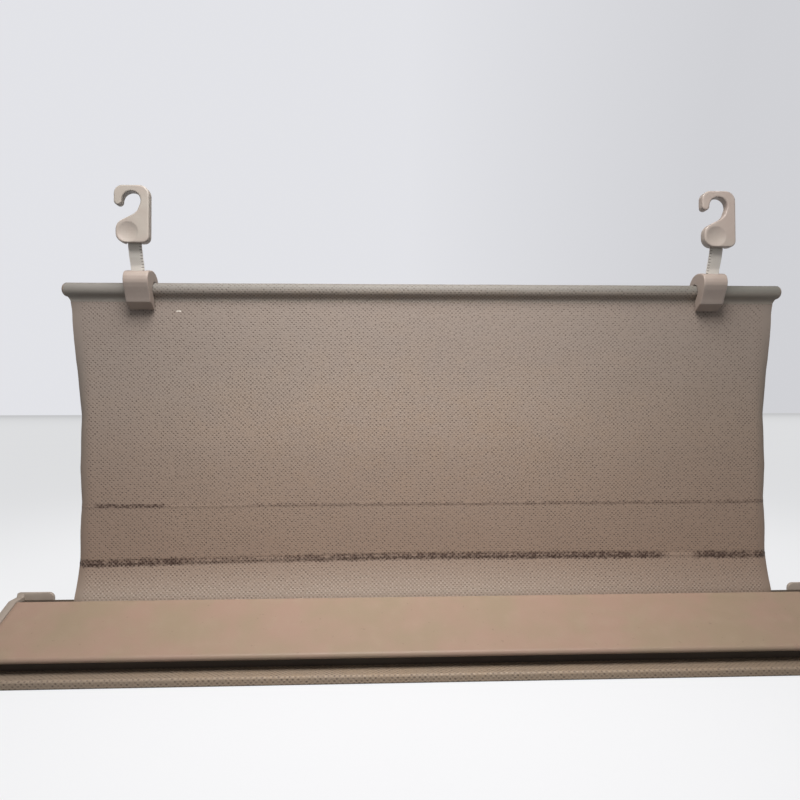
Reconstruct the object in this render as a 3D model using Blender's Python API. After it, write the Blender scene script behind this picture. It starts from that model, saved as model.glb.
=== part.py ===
"""Pull-up spring roller sun blind: a low cassette with a roller inside, a sheet of perforated vinyl
that rises through a slot, a pull rod along its top, and two clips that carry hooks on short straps.
Width is X, the front faces -Y, Z is up, and the cassette stands on z = 0. Sizes below are in mm."""

import math

import bmesh
import bpy
import numpy as np

MM = 0.001

# Cassette
CASE_HALF = 300.0  # half length of cover and base, between the end caps
CAP_THICKNESS = 5.8
FABRIC_Y = 24.0  # depth position of the vinyl sheet's plane
SLOT_Z = 40.0  # height of the cover's lip at the slot
COVER_THICKNESS = 2.2
COVER_SLOPE = math.radians(25.0)
COVER_ROLL_RADIUS = 5.5  # centre line of the cover's rolled front edge
EAR_TOP_Z = 43.5
EAR_INNER_X = 279.5

# Roller, with the rotation axis given from the sheet's plane
ROLLER_Y = -5.95
ROLLER_Z = 15.0
TUBE_OUTER = 5.4
TUBE_INNER = 4.5
TUBE_HALF = 290.0
SPINDLE_RADIUS = 2.0
BUSH_RADIUS = 2.08
ROLL_INNER = 5.46
ROLL_OUTER = 6.2

# Sheet and pull rod
FABRIC_THICKNESS = 0.5
FABRIC_HALF = 264.0
FABRIC_BOTTOM_Z = 17.0
ROD_Z = 268.0
ROD_RADIUS = 4.6
ROD_BORE = 3.8
ROD_HALF = 264.6
ROD_END = 270.8
SLEEVE_OUTER = 5.15
HEM_DROP = 12.0  # from the rod's axis to the end of the sewn hem

# Clips, straps and hooks, given from the rod's axis
CLIP_X = 212.4
CLIP_WIDTH = 18.0
CLIP_BORE = 5.45
CLIP_PIN = (-10.6, 5.0)
CLIP_PIN_RADIUS = 1.2
STRAP_WIDTH = 10.3
STRAP_THICKNESS = 1.5
LOWER_EYE_RADIUS = 2.2
UPPER_EYE_RADIUS = 1.9
POCKET_HALF = 5.6  # half width of the strap's pocket in the clip and channel in the hook
HOOK_SHIFT = -0.6  # from the strap's middle to the hook's
HOOK_SIZE = 1.02  # scale of the outline in hook_outline
HOOK_FRONT_Y = -21.9
HOOK_BACK_Y = -15.1
HOOK_BOTTOM = 29.4
HOOK_PIN = (-16.9, 35.6)
HOOK_PIN_RADIUS = 0.8
MOUTH = (-0.3, 29.5)  # centre of the hook's round opening, from its bottom centre
MOUTH_RADIUS = 6.5
DIMPLE = (-2.3, 7.8)
DIMPLE_RADIUS = 7.4
DIMPLE_DEPTH = 1.25


def material(name, colour, roughness, metallic=0.0):
    made = bpy.data.materials.new(name)
    made.use_nodes = True
    shader = made.node_tree.nodes["Principled BSDF"]
    shader.inputs["Base Color"].default_value = (*colour, 1.0)
    shader.inputs["Roughness"].default_value = roughness
    shader.inputs["Metallic"].default_value = metallic
    return made


def add_object(name, mesh, surface, origin=(0, 0, 0), smooth_degrees=35):
    """The mesh, given in mm from the world's origin, as an object whose own origin is given in mm."""
    bm = bmesh.new()
    bm.from_mesh(mesh)
    bmesh.ops.recalc_face_normals(bm, faces=bm.faces)
    bmesh.ops.translate(bm, verts=bm.verts, vec=[-value for value in origin])
    bmesh.ops.scale(bm, verts=bm.verts, vec=(MM, MM, MM))
    limit = math.radians(smooth_degrees)
    for face in bm.faces:
        face.smooth = True
    for edge in bm.edges:
        edge.smooth = edge.calc_face_angle(0.0) < limit
    bm.to_mesh(mesh)
    bm.free()
    obj = bpy.data.objects.new(name, mesh)
    obj.location = [value * MM for value in origin]
    if surface:
        mesh.materials.append(surface)
    bpy.context.scene.collection.objects.link(obj)
    return obj


def loft(name, rings, surface, origin=(0, 0, 0), loop=False, smooth_degrees=35):
    """A closed body through rings of equal point count, capped at both ends or joined into a loop."""
    bm = bmesh.new()
    rows = [[bm.verts.new(point) for point in ring] for ring in rings]
    count = len(rings[0])
    for index in range(len(rows) if loop else len(rows) - 1):
        low = rows[index]
        high = rows[(index + 1) % len(rows)]
        for i in range(count):
            j = (i + 1) % count
            bm.faces.new((low[i], low[j], high[j], high[i]))
    if not loop:
        bm.faces.new(rows[0][::-1])
        bm.faces.new(rows[-1])
    mesh = bpy.data.meshes.new(name)
    bm.to_mesh(mesh)
    bm.free()
    return add_object(name, mesh, surface, origin, smooth_degrees)


def offset(outline, distance):
    """A closed outline moved inwards by a distance; its points run counter-clockwise."""
    points = np.array(outline, float)
    before = points - np.roll(points, 1, axis=0)
    after = np.roll(points, -1, axis=0) - points
    before /= np.linalg.norm(before, axis=1)[:, None]
    after /= np.linalg.norm(after, axis=1)[:, None]
    inward_before = np.stack([-before[:, 1], before[:, 0]], axis=1)
    inward_after = np.stack([-after[:, 1], after[:, 0]], axis=1)
    middle = inward_before + inward_after
    middle /= np.linalg.norm(middle, axis=1)[:, None]
    stretch = np.clip((middle * inward_before).sum(axis=1), 0.6, 1.0)
    return points + middle * (distance / stretch)[:, None]


def strip(path, thickness):
    """The outline of a strip of even thickness along an open path."""
    points = np.array(path, float)
    steps = np.diff(points, axis=0)
    steps /= np.linalg.norm(steps, axis=1)[:, None]
    ahead = np.vstack([steps, steps[-1:]])
    behind = np.vstack([steps[:1], steps])
    along = ahead + behind
    along /= np.linalg.norm(along, axis=1)[:, None]
    normal = np.stack([-along[:, 1], along[:, 0]], axis=1)
    half = thickness / 2 / np.clip((along * ahead).sum(axis=1), 0.6, 1.0)[:, None]
    return [*(points + normal * half), *(points - normal * half)[::-1]]


def arc(centre, radius, start, end, steps):
    """Points on a circle, angles in degrees."""
    angles = np.radians(np.linspace(start, end, steps))
    return [(centre[0] + radius * math.cos(a), centre[1] + radius * math.sin(a)) for a in angles]


def prism_x(name, outline, x0, x1, surface, origin=(0, 0, 0), rounding=0.0):
    """An outline in (depth, height) carried along X, its two end faces rounded over."""
    levels = [(x0, 0.0), (x1, 0.0)]
    if rounding:
        fall = [(rounding * (1 - math.cos(a)), rounding * (1 - math.sin(a))) for a in (0, 0.8)]
        levels = [(x0 + along, inset) for along, inset in fall] + [(x0 + rounding, 0.0)]
        levels += [(x0 + x1 - at, inset) for at, inset in levels[::-1]]
    rings = [[(x, y, z) for y, z in offset(outline, inset)] for x, inset in levels]
    return loft(name, rings, surface, origin)


def lathe_x(name, profile, centre, surface, origin=(0, 0, 0), segments=32):
    """A closed profile of (x, radius) turned about an axis along X."""
    rings = []
    for step in range(segments):
        angle = 2 * math.pi * step / segments
        rings.append(
            [
                (x, centre[0] + radius * math.cos(angle), centre[1] + radius * math.sin(angle))
                for x, radius in profile
            ]
        )
    return loft(name, rings, surface, origin, loop=True)


def shaft_x(name, sections, centre, surface, origin=(0, 0, 0), segments=32):
    """A solid round shaft through sections of (x, radius)."""
    rings = [
        [(x, y, z) for y, z in arc(centre, radius, 0, 360 - 360 / segments, segments)]
        for x, radius in sections
    ]
    return loft(name, rings, surface, origin)


def tube_x(name, outer, inner, x0, x1, surface, origin=(0, 0, 0)):
    """A tube along X between two outlines of equal point count."""
    rings = []
    for start, end in zip(outer, inner):
        rings.append([(x0, *start), (x1, *start), (x1, *end), (x0, *end)])
    return loft(name, rings, surface, origin, loop=True)


def block(name, low, high):
    """A box used as a cutter or joined into another piece."""
    ring = [(low[0], low[1]), (high[0], low[1]), (high[0], high[1]), (low[0], high[1])]
    return loft(name, [[(x, y, z) for x, y in ring] for z in (low[2], high[2])], None)


def combine(obj, tool, operation):
    """Joins a helper into an object, or cuts it out, and hides the helper."""
    change = obj.modifiers.new(tool.name, "BOOLEAN")
    change.operation = operation
    change.solver = "EXACT"
    change.object = tool
    tool.hide_render = True
    tool.display_type = "WIRE"


def from_sheet(points):
    """Outline points measured from the sheet's plane, in world depth."""
    return [(y + FABRIC_Y, z) for y, z in points]


def from_rod(points):
    """Outline points measured from the rod's axis, in world depth and height."""
    return [(y + FABRIC_Y, z + ROD_Z) for y, z in points]


def mirrored(profile, side):
    """A lathe profile for the right side, or its mirror image for the left."""
    return [(side * x, radius) for x, radius in profile]


BEIGE = material("cover_beige", (0.48, 0.36, 0.27), 0.55)
CASE = material("case_plastic", (0.07, 0.055, 0.045), 0.6)
CAP = material("cap_plastic", (0.36, 0.29, 0.235), 0.55)
VINYL = material("perforated_vinyl", (0.29, 0.225, 0.185), 0.6)
TRIM = material("trim_vinyl", (0.27, 0.21, 0.16), 0.65)
TAUPE = material("clip_plastic", (0.41, 0.35, 0.3), 0.45)
HOOK = material("hook_plastic", (0.48, 0.41, 0.36), 0.4)
WEBBING = material("strap_webbing", (0.42, 0.37, 0.33), 0.85)
STEEL = material("steel", (0.55, 0.55, 0.56), 0.35, 1.0)
ALUMINIUM = material("aluminium", (0.66, 0.66, 0.67), 0.4, 1.0)
NYLON = material("nylon", (0.75, 0.73, 0.68), 0.5)


def cover_centre_line():
    """From the lip in the slot, over the flat slope, round the rolled front edge."""
    slope_start = (-4.2, SLOT_Z - COVER_THICKNESS / 2)
    slope_end_y = -42.0
    slope_end = (slope_end_y, slope_start[1] + (slope_end_y - slope_start[0]) * math.tan(COVER_SLOPE))
    centre = (
        slope_end[0] + COVER_ROLL_RADIUS * math.sin(COVER_SLOPE),
        slope_end[1] - COVER_ROLL_RADIUS * math.cos(COVER_SLOPE),
    )
    roll = arc(centre, COVER_ROLL_RADIUS, 90 + math.degrees(COVER_SLOPE), 235, 8)
    return [(-2.3, 34.6), (-2.3, 37.2), (-2.9, 38.5), slope_start, *roll]


def build_case():
    left, right = -CASE_HALF, CASE_HALF
    prism_x("cover_panel", from_sheet(strip(cover_centre_line(), COVER_THICKNESS)), left, right, BEIGE)
    base_outline = [
        (-56.8, 0.0),
        (6.8, 0.0),
        (6.8, 38.4),
        (1.8, 38.4),
        (1.8, 36.4),
        (4.6, 36.4),
        (4.6, 7.4),
        (0.2, 7.4),
        (-0.6, 2.5),
        (-32.5, 2.5),
        (-32.5, 8.5),
        (-38.8, 8.5),
        (-38.8, 17.5),
        (-41.0, 17.5),
        (-41.0, 5.0),
        (-56.0, 5.0),
        (-56.8, 4.2),
    ]
    base = prism_x("housing_base", from_sheet(base_outline), left, right, CASE)
    trim_path = [(-41.3, 5.5), (-56.4, 5.5), (-57.15, 5.2), (-57.4, 4.5), (-57.4, 0.8)]
    prism_x("base_trim_strip", from_sheet(strip(trim_path, 0.9)), left, right, TRIM)
    for side, label in ((-1, "left"), (1, "right")):
        build_end_cap(side, label)
        for port, place in (((-36.6, 4.5), "front"), ((3.2, 3.9), "rear")):
            centre = (port[0] + FABRIC_Y, port[1])
            hole = shaft_x(
                f"port_{label}_{place}",
                [(side * 284, 1.35), (side * 302, 1.35)],
                centre,
                None,
                segments=16,
            )
            combine(base, hole, "DIFFERENCE")
            sections = [
                (side * 286.0, 0.7),
                (side * 288.0, 1.3),
                (side * 304.2, 1.3),
                (side * 304.25, 2.7),
                (side * 305.2, 2.6),
                (side * 305.6, 1.6),
            ]
            shaft_x(f"cap_screw_{label}_{place}", sections, centre, STEEL, segments=16)


def cap_outline():
    """The outline of cover and base together, a little larger, with the ear behind."""
    centre = (-39.68, 16.2)
    front = arc(centre, COVER_ROLL_RADIUS + 1.8, 190, 90 + math.degrees(COVER_SLOPE), 7)
    return [
        (-57.9, 0.0),
        (9.8, 0.0),
        (9.8, EAR_TOP_Z),
        (7.15, EAR_TOP_Z),
        (6.0, 41.0),
        (-3.8, 40.9),
        *front[::-1],
        (-47.0, 7.0),
        (-57.2, 6.6),
        (-57.9, 5.8),
    ]


def build_end_cap(side, label):
    inner, outer = CASE_HALF + 0.2, CASE_HALF + 0.2 + CAP_THICKNESS
    axis = (ROLLER_Y + FABRIC_Y, ROLLER_Z)
    ends = sorted((side * inner, side * outer))
    cap = prism_x(f"end_cap_{label}", from_sheet(cap_outline()), *ends, CAP, rounding=0.9)
    boss = shaft_x(f"boss_{label}", [(side * 294.2, 4.4), (side * 303, 4.4)], axis, None)
    combine(cap, boss, "UNION")
    near, far = 7.15 + FABRIC_Y, 9.8 + FABRIC_Y
    corner = arc((EAR_INNER_X + 4, EAR_TOP_Z - 4), 4, 90, 180, 5)
    ear = [(303, EAR_TOP_Z), *corner, (EAR_INNER_X, 22.0), (303, 22.0)]
    rings = [[(side * x, y, z) for x, z in ear] for y in (near, far)]
    combine(cap, loft(f"ear_{label}", rings, None), "UNION")
    if side < 0:
        half = 1.75
        low = (-305.0, axis[0] - half, axis[1] - half)
        high = (-290.0, axis[0] + half, axis[1] + half)
        combine(cap, block("spindle_seat", low, high), "DIFFERENCE")
    else:
        seat = shaft_x("idler_seat", [(290, 2.05), (305, 2.05)], axis, None)
        combine(cap, seat, "DIFFERENCE")
    for port, place in (((-36.6, 4.5), "front"), ((3.2, 3.9), "rear")):
        sections = [(side * 298, 1.5), (side * 303.9, 1.5), (side * 304.0, 3.0), (side * 308, 3.0)]
        hole = shaft_x(
            f"screw_hole_{label}_{place}",
            sections,
            (port[0] + FABRIC_Y, port[1]),
            None,
            segments=16,
        )
        combine(cap, hole, "DIFFERENCE")


def squared_circle(centre, half, count):
    """Points on a square, in step with the points of a circle."""
    points = []
    for step in range(count):
        angle = 2 * math.pi * step / count
        reach = half / max(abs(math.cos(angle)), abs(math.sin(angle)))
        points.append((centre[0] + reach * math.cos(angle), centre[1] + reach * math.sin(angle)))
    return points


def coil(x0, x1, turns, mean_radius, wire_radius, centre, per_turn=10, sides=5):
    """Rings of wire points along a helix about X."""
    rings = []
    total = turns * per_turn
    pitch = (x1 - x0) / turns
    lean = math.atan2(pitch, 2 * math.pi * mean_radius)
    for step in range(total + 1):
        angle = 2 * math.pi * step / per_turn
        out = np.array([0, math.cos(angle), math.sin(angle)])
        tangent = np.array([0, -math.sin(angle), math.cos(angle)])
        cross = np.array([math.cos(lean), 0, 0]) - math.sin(lean) * tangent
        middle = np.array([x0 + (x1 - x0) * step / total, *centre]) + mean_radius * out
        ring = []
        for side in range(sides):
            turn = 2 * math.pi * side / sides
            ring.append(middle + wire_radius * (math.cos(turn) * out + math.sin(turn) * cross))
        rings.append(ring)
    return rings


def build_roller():
    axis = (ROLLER_Y + FABRIC_Y, ROLLER_Z)
    pivot = (0, *axis)
    count = 32
    square = squared_circle(axis, 1.65, count)
    rings = [[(x, *point) for point in square] for x in (-304.4, -294.0)]
    for x, radius in ((-293.9, SPINDLE_RADIUS), (-88.0, SPINDLE_RADIUS), (-87.2, 1.4)):
        rings.append([(x, *point) for point in arc(axis, radius, 0, 360 - 360 / count, count)])
    loft("spindle", rings, STEEL)
    collar = [(-97, 2.05), (-97, 3.7), (-96.4, 4.1), (-90.6, 4.1), (-90, 3.7), (-90, 2.05)]
    lathe_x("spindle_collar", collar, axis, NYLON)
    loft("torsion_spring", coil(-271.0, -98.0, 18, 3.3, 0.5, axis), STEEL, smooth_degrees=70)
    sections = [(276.0, 1.5), (276.6, 2.0), (304.2, 2.0), (304.7, 1.6)]
    shaft_x("idler_pin", sections, axis, STEEL)
    for side, label in ((-1, "left"), (1, "right")):
        washer = [(292.5, 2.12), (293.7, 2.12), (293.7, 4.2), (292.5, 4.2)]
        lathe_x(f"thrust_washer_{label}", mirrored(washer, side), axis, NYLON)
        plug = [
            (273.0, BUSH_RADIUS),
            (292.0, BUSH_RADIUS),
            (292.0, 4.8),
            (291.5, 5.3),
            (290.3, 5.3),
            (290.3, 4.42),
            (274.0, 4.42),
            (273.0, 4.0),
        ]
        lathe_x(f"roller_plug_{label}", mirrored(plug, side), axis, NYLON, pivot)
    steps = 48
    outer = arc(axis, TUBE_OUTER, 0, 360 - 360 / steps, steps)
    inner = arc(axis, TUBE_INNER, 0, 360 - 360 / steps, steps)
    tube = tube_x("roller_tube", outer, inner, -TUBE_HALF, TUBE_HALF, ALUMINIUM, pivot)
    groove_low = (-292, axis[0] - TUBE_OUTER - 1, axis[1] - 1.1)
    groove_high = (292, axis[0] - 4.86, axis[1] + 1.1)
    combine(tube, block("spline_groove", groove_low, groove_high), "DIFFERENCE")
    bead = [(-5.3, -0.9), (-4.95, -0.9), (-4.95, 0.9), (-5.3, 0.9)]
    outline = [(axis[0] + y, axis[1] + z) for y, z in bead]
    prism_x("fabric_spline", outline, -260, 260, NYLON, pivot)
    turn = np.linspace(0, 360, steps + 1)[1:]
    spiral = ROLL_OUTER - FABRIC_THICKNESS * (1 - turn / 360)
    outer = [arc(axis, radius, at, at, 1)[0] for at, radius in zip(turn, spiral)]
    inner = [arc(axis, ROLL_INNER, at, at, 1)[0] for at in turn]
    half = FABRIC_HALF - 1.0
    tube_x("fabric_roll", outer, inner, -half, half, VINYL, pivot)


def build_sheet():
    """The sheet between roller and hem: its sides draw in a little at mid height."""
    heights = [FABRIC_BOTTOM_Z, 40, 55, 75, 100, 130, 160, 185, 205, 225, 245, ROD_Z - HEM_DROP - 0.3]
    halves = [261.5, 261, 259.5, 258.3, 257.6, 257.2, 257, 257.4, 258.8, 261, 263, 263.8]
    right = list(zip(halves, heights))
    outline = right + [(-x, z) for x, z in right[::-1]]
    near = FABRIC_Y - FABRIC_THICKNESS / 2
    rings = [[(x, y, z) for x, z in outline] for y in (near, near + FABRIC_THICKNESS)]
    loft("blind_panel", rings, VINYL)


def build_pull_bar():
    axis = (FABRIC_Y, ROD_Z)
    pivot = (0, *axis)
    steps = 32
    outer = arc(axis, ROD_RADIUS, 0, 360 - 360 / steps, steps)
    inner = arc(axis, ROD_BORE, 0, 360 - 360 / steps, steps)
    tube_x("pull_rod", outer, inner, -ROD_HALF, ROD_HALF, ALUMINIUM, pivot)
    for side, label in ((-1, "left"), (1, "right")):
        head = [(264.9, 4.7), (265.3, 5.1), (267.4, 5.1), (269.0, 4.6), (270.2, 3.3), (ROD_END, 1.4)]
        sections = [(255.0, 3.2), (256.0, 3.7), (264.8, 3.7), *head]
        shaft_x(f"rod_end_plug_{label}", mirrored(sections, side), axis, TAUPE, pivot)
    outside = arc((0, 0), SLEEVE_OUTER, -83.9, 263.9, 40)
    inside = arc((0, 0), ROD_RADIUS + 0.05, 269.5, -89.5, 40)
    sleeve = [(0.55, -HEM_DROP), *outside, (-0.55, -HEM_DROP), (-0.05, -HEM_DROP), *inside]
    sleeve += [(0.05, -HEM_DROP)]
    prism_x("hem_sleeve", from_rod(sleeve), -FABRIC_HALF, FABRIC_HALF, VINYL, pivot)


def clip_outline():
    """A block in front of the rod, bored for it, with an arm over the rod's top to its rear and a lip
    below that slopes back to the sheet."""
    outer = [
        (-9.4, -10.6),
        (-10.8, -7.4),
        (-12.3, -4.4),
        (-14.4, -0.5),
        (-15.7, 2.6),
        (-16.0, 4.8),
        (-15.7, 7.4),
        (-14.7, 9.8),
        (-12.9, 11.4),
        (-9.2, 12.6),
        (-5.5, 13.2),
        (-2.0, 13.0),
        (1.6, 11.8),
        (4.8, 9.3),
        (7.2, 6.0),
        (8.5, 2.2),
        (8.7, -1.4),
        (8.0, -4.2),
        (6.4, -4.6),
    ]
    bore = arc((0, 0), CLIP_BORE, -40, 226, 26)
    lip = [(-2.3, -5.8), (-1.3, -7.4), (-1.3, -14.6), (-1.9, -15.0)]
    return [*outer, *bore, *lip][::-1]


def strap_outline():
    """A bent strip between two round eyes, seen from the side; the eyes lie on the two pins."""
    path = [CLIP_PIN, (-10.5, 11.0), (-11.6, 15.5), (-14.0, 21.0), (-16.2, 28.0), HOOK_PIN]
    sides = strip(path, STRAP_THICKNESS)
    half = len(path)
    outline = list(sides[1 : half - 1])
    ends = ((HOOK_PIN, path[-2], UPPER_EYE_RADIUS), (CLIP_PIN, path[1], LOWER_EYE_RADIUS))
    for eye, near, radius in ends:
        away = math.degrees(math.atan2(near[1] - eye[1], near[0] - eye[0]))
        spread = math.degrees(math.asin(STRAP_THICKNESS / 2 / radius))
        outline += arc(eye, radius, away + 360 - spread, away + spread, 15)
        if eye is HOOK_PIN:
            outline += list(sides[half + 1 : -1])
    return outline


def hook_outline():
    """A J open to the left: tip, top bar, shank and thumb lobe, from the hook's bottom centre."""
    tip = arc((-9.45, 29.2), 2.7, 180, 360, 9)
    mouth = arc(MOUTH, MOUTH_RADIUS, 176, -30, 18)
    sweep = [(4.1, 22.8), (1.7, 20.5), (-3.5, 17.8), (-8.0, 15.5), (-10.1, 13.0), (-10.8, 10.1)]
    lower_left = arc((-4.0, 6.8), 6.8, 180, 270, 7)
    lower_right = arc((7.75, 4.4), 4.4, 270, 360, 6)
    upper_right = arc((5.05, 33.4), 7.1, 0, 90, 8)
    upper_left = arc((-6.35, 34.7), 5.8, 90, 180, 7)
    outline = [*lower_left, *lower_right, *upper_right, *upper_left, *tip, *mouth, *sweep]
    return [(x * HOOK_SIZE, z * HOOK_SIZE) for x, z in outline]


def build_hook(side, label):
    clip_x = side * CLIP_X
    swivel = (clip_x, FABRIC_Y, ROD_Z)
    lower = (CLIP_PIN[0] + FABRIC_Y, CLIP_PIN[1] + ROD_Z)
    upper = (HOOK_PIN[0] + FABRIC_Y, HOOK_PIN[1] + ROD_Z)
    half = CLIP_WIDTH / 2
    clip = prism_x(
        f"clip_{label}",
        from_rod(clip_outline()),
        clip_x - half,
        clip_x + half,
        TAUPE,
        swivel,
        rounding=0.8,
    )
    pocket = [(-13.3, 2.4), (-7.8, 2.4), (-7.8, 7.0), (-5.0, 15.0), (-12.0, 15.0), (-12.0, 9.2), (-13.3, 7.2)]
    pocket_x = (clip_x - POCKET_HALF, clip_x + POCKET_HALF)
    combine(clip, prism_x(f"pocket_{label}", from_rod(pocket), *pocket_x, None), "DIFFERENCE")
    reach = half - 1.5
    seat = ((clip_x - reach - 0.3, 1.32), (clip_x + reach + 0.3, 1.32))
    combine(clip, shaft_x(f"clip_seat_{label}", seat, lower, None, segments=20), "DIFFERENCE")
    pin = [(clip_x - reach, CLIP_PIN_RADIUS), (clip_x + reach, CLIP_PIN_RADIUS)]
    shaft_x(f"clip_pin_{label}", pin, lower, STEEL, swivel, segments=20)

    link = from_rod(strap_outline())[::-1]
    strap_x = (clip_x - STRAP_WIDTH / 2, clip_x + STRAP_WIDTH / 2)
    strap = prism_x(f"strap_{label}", link, *strap_x, WEBBING, (clip_x, *lower))
    for eye, radius, place in ((lower, 1.32, "lower"), (upper, 0.92, "upper")):
        ends = ((strap_x[0] - 1, radius), (strap_x[1] + 1, radius))
        hole = shaft_x(f"eye_{label}_{place}", ends, eye, None, segments=20)
        combine(strap, hole, "DIFFERENCE")

    middle = clip_x + HOOK_SHIFT
    bottom = HOOK_BOTTOM + ROD_Z
    front, back = HOOK_FRONT_Y + FABRIC_Y, HOOK_BACK_Y + FABRIC_Y
    rings = []
    depths = [(front, 1.3), (front + 0.4, 0.6), (front + 1.3, 0.0)]
    depths += [(back - 1.0, 0.0), (back - 0.3, 0.5), (back, 1.0)]
    for y, inset in depths:
        rings.append([(middle + x, y, bottom + z) for x, z in offset(hook_outline(), inset)])
    hook = loft(f"hook_{label}", rings, HOOK, (middle, *upper))
    channel_low = (clip_x - POCKET_HALF, HOOK_PIN[0] - 2.2 + FABRIC_Y, bottom - 2)
    channel_high = (clip_x + POCKET_HALF, back + 2, upper[1] + 2.6)
    combine(hook, block(f"strap_channel_{label}", channel_low, channel_high), "DIFFERENCE")
    reach = 8.8
    seat = ((middle - reach - 0.3, 0.9), (middle + reach + 0.3, 0.9))
    combine(hook, shaft_x(f"pin_seat_{label}", seat, upper, None, segments=20), "DIFFERENCE")
    pin = [(middle - reach, HOOK_PIN_RADIUS), (middle + reach, HOOK_PIN_RADIUS)]
    shaft_x(f"hook_pin_{label}", pin, upper, STEEL, (middle, *upper), segments=20)
    combine(hook, dimple_cutter(label, middle + DIMPLE[0], front, bottom + DIMPLE[1]), "DIFFERENCE")


def dimple_cutter(label, x, front, z):
    """A shallow dish for the thumb, cut from the front."""
    radius = (DIMPLE_RADIUS**2 + DIMPLE_DEPTH**2) / (2 * DIMPLE_DEPTH)
    rings = []
    for depth in (-1.0, 0.0, 0.35, 0.7, 1.0, 1.2):
        from_centre = radius - DIMPLE_DEPTH + max(depth, 0.0)
        reach = math.sqrt(radius**2 - from_centre**2)
        ring = arc((x, z), reach, 0, 345, 24)
        rings.append([(at, front + depth, height) for at, height in ring])
    return loft(f"dimple_{label}", rings, None)


def main():
    for obj in list(bpy.data.objects):
        bpy.data.objects.remove(obj)
    build_case()
    build_roller()
    build_sheet()
    build_pull_bar()
    for side, label in ((-1, "left"), (1, "right")):
        build_hook(side, label)


main()
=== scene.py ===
"""Looks of a pull-up spring roller sun blind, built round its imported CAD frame.
Shapes are worked out in mm (depth, height) sections and laid along X; the row frame is in metres."""

import math

import bmesh
import bpy
import numpy as np
from mathutils import Matrix, Vector, noise


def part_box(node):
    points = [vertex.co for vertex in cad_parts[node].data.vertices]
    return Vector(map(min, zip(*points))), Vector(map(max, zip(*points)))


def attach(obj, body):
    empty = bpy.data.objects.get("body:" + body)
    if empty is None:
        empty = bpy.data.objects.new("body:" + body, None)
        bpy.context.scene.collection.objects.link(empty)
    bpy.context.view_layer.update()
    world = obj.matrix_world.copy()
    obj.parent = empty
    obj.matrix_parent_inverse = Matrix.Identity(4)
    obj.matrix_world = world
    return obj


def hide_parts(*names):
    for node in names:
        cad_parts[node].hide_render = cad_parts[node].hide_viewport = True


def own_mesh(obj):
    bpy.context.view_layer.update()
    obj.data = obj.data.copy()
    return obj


MM = 0.001

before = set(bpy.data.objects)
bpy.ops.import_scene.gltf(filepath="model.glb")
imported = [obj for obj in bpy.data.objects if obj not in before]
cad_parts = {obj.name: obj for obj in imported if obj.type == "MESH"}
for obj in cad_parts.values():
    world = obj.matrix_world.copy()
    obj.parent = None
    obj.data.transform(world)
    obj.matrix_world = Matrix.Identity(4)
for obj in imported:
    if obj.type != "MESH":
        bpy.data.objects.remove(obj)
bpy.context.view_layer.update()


def node_box(name):
    low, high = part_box(name)
    return np.array(low) / MM, np.array(high) / MM


# Places that everything else is measured from, read from the CAD nodes
PANEL_LOW, PANEL_HIGH = node_box("blind_panel")
ROD_LOW, ROD_HIGH = node_box("pull_rod")
COVER_HIGH = node_box("cover_panel")[1]
PLUG_HIGH = node_box("rod_end_plug_right")[1]
FABRIC_Y = (PANEL_LOW[1] + PANEL_HIGH[1]) / 2
ROD_Z = (ROD_LOW[2] + ROD_HIGH[2]) / 2
ROD_RADIUS = (ROD_HIGH[2] - ROD_LOW[2]) / 2
CASE_HALF = COVER_HIGH[0]
ROD_END = PLUG_HIGH[0]
SLOT_Z = COVER_HIGH[2]


# ---------------------------------------------------------------- mesh helpers


def mesh_piece(name, points, faces, smooth_degrees=40, attributes=None):
    """A new object from points in mm; attributes are named vectors, one for each point."""
    mesh = bpy.data.meshes.new(name)
    mesh.from_pydata((np.asarray(points, float) * MM).tolist(), [], faces)
    for key, values in (attributes or {}).items():
        layer = mesh.attributes.new(key, "FLOAT_VECTOR", "POINT")
        layer.data.foreach_set("vector", np.asarray(values, np.float32).ravel())
    bm = bmesh.new()
    bm.from_mesh(mesh)
    bmesh.ops.recalc_face_normals(bm, faces=bm.faces)
    limit = math.radians(smooth_degrees)
    for face in bm.faces:
        face.smooth = True
    for edge in bm.edges:
        edge.smooth = edge.calc_face_angle(0.0) < limit
    bm.to_mesh(mesh)
    bm.free()
    made = bpy.data.objects.new(name, mesh)
    bpy.context.scene.collection.objects.link(made)
    return made


def ring_faces(rows, count, closed=False):
    """Quads between rings of equal count, with end caps unless the rings close on themselves."""
    faces = []
    for row in range(rows if closed else rows - 1):
        low, high = row * count, ((row + 1) % rows) * count
        for i in range(count):
            j = (i + 1) % count
            faces.append((low + i, low + j, high + j, high + i))
    if not closed:
        faces.append(tuple(range(count))[::-1])
        faces.append(tuple(range((rows - 1) * count, rows * count)))
    return faces


def loft(name, rings, closed=False, smooth_degrees=40, attributes=None):
    rings = np.asarray(rings, float)
    rows, count = rings.shape[:2]
    faces = ring_faces(rows, count, closed)
    return mesh_piece(name, rings.reshape(-1, 3), faces, smooth_degrees, attributes)


def along_x(outline, stations, name, smooth_degrees=40):
    """A (depth, height) outline laid along X at stations of (x, inset)."""
    rings = []
    for x, inset in stations:
        flat = offset(outline, inset) if inset else np.asarray(outline, float)
        rings.append(np.column_stack([np.full(len(flat), x), flat]))
    return loft(name, rings, smooth_degrees=smooth_degrees)


def arc(centre, radius, start, end, steps):
    angles = np.radians(np.linspace(start, end, steps))
    return [(centre[0] + radius * math.cos(a), centre[1] + radius * math.sin(a)) for a in angles]


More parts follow.
